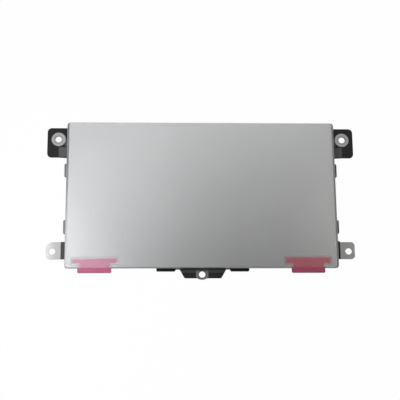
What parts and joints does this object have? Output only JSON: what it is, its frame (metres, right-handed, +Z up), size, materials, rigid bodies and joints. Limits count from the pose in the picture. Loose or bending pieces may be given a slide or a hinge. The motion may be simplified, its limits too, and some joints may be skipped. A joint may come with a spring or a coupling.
{
  "type": "laptop trackpad module",
  "caption": "Flat silver clicking trackpad module on a black steel frame with screw ears, spring-hinged at the rear over a click switch, with a flat-cable connector underneath.",
  "frame": {"origin": "middle of the module's outline, on the plane that the frame's bent lips stand on", "axes": "+X to the user's right, +Y to the rear, away from the user, +Z up out of the touch surface"},
  "size_m": [0.1216, 0.0632, 0.0037],
  "materials": {
    "silver_plate": "etched satin glass with a silver coat",
    "clear_film": "thin frosted protective film",
    "pink_tape": "translucent pink tape",
    "adhesive": "double-sided adhesive sheet",
    "board_laminate": "solder mask over glass-fibre laminate",
    "plated_steel": "plated sheet steel",
    "spring_steel": "rolled spring steel",
    "black_coat": "black electrophoretic coat on sheet steel, bare at the coined rings",
    "chip_resin": "moulded chip resin",
    "ceramic": "ceramic with tinned ends",
    "ivory_plastic": "glass-filled connector plastic",
    "dark_plastic": "moulded plastic",
    "white_plastic": "moulded acetal",
    "contact_metal": "gold-flashed contact metal",
    "black_rubber": "soft damping rubber"
  },
  "bodies": {
    "frame": {"support_frame": "black_coat", "front_ear_left": "plated_steel", "front_ear_right": "plated_steel", "ear_rivets": "plated_steel", "hinge_leaf_left": "spring_steel", "hinge_leaf_right": "spring_steel", "leaf_rivets_rear": "plated_steel", "strike_pad": "black_rubber", "front_dampers": "black_rubber"},
    "pad": {"touch_plate": "silver_plate", "protective_film": "clear_film", "pull_tab_left": "pink_tape", "pull_tab_right": "pink_tape", "plate_adhesive": "adhesive", "sensor_board": "board_laminate", "board_adhesive": "adhesive", "stiffener_plate": "plated_steel", "touch_controller": "chip_resin", "voltage_regulator": "chip_resin", "board_capacitors": "ceramic", "board_resistors": "chip_resin", "connector_housing": "ivory_plastic", "connector_contacts": "contact_metal", "connector_anchors": "plated_steel", "switch_base": "dark_plastic", "switch_terminals": "plated_steel", "switch_dome": "spring_steel", "switch_cover": "plated_steel", "leaf_rivets_front": "plated_steel"},
    "plunger": {"switch_plunger": "white_plastic"},
    "latch": {"connector_latch": "dark_plastic"}
  },
  "joints": [
    {"name": "pad_click", "type": "hinge", "parent": "frame", "child": "pad", "pos_m": [0, 0.02255, 0.00137], "axis": [1, 0, 0], "range_deg": [0, 0.25], "stiffness_Nm_per_rad": 7, "springref_deg": -0.11, "deforming": ["hinge_leaf_left", "hinge_leaf_right"]},
    {"name": "plunger_travel", "type": "slide", "parent": "pad", "child": "plunger", "axis": [0, 0, 1], "range_m": [0, 0.0002], "deforming": ["switch_dome"]},
    {"name": "latch_flip", "type": "hinge", "parent": "pad", "child": "latch", "pos_m": [0.0045, 0.00547, 0.00125], "axis": [1, 0, 0], "range_deg": [0, 90]}
  ],
  "couplings": [
    {"joint": "plunger_travel", "follows": "pad_click", "m_per_rad": 0.0455}
  ]
}
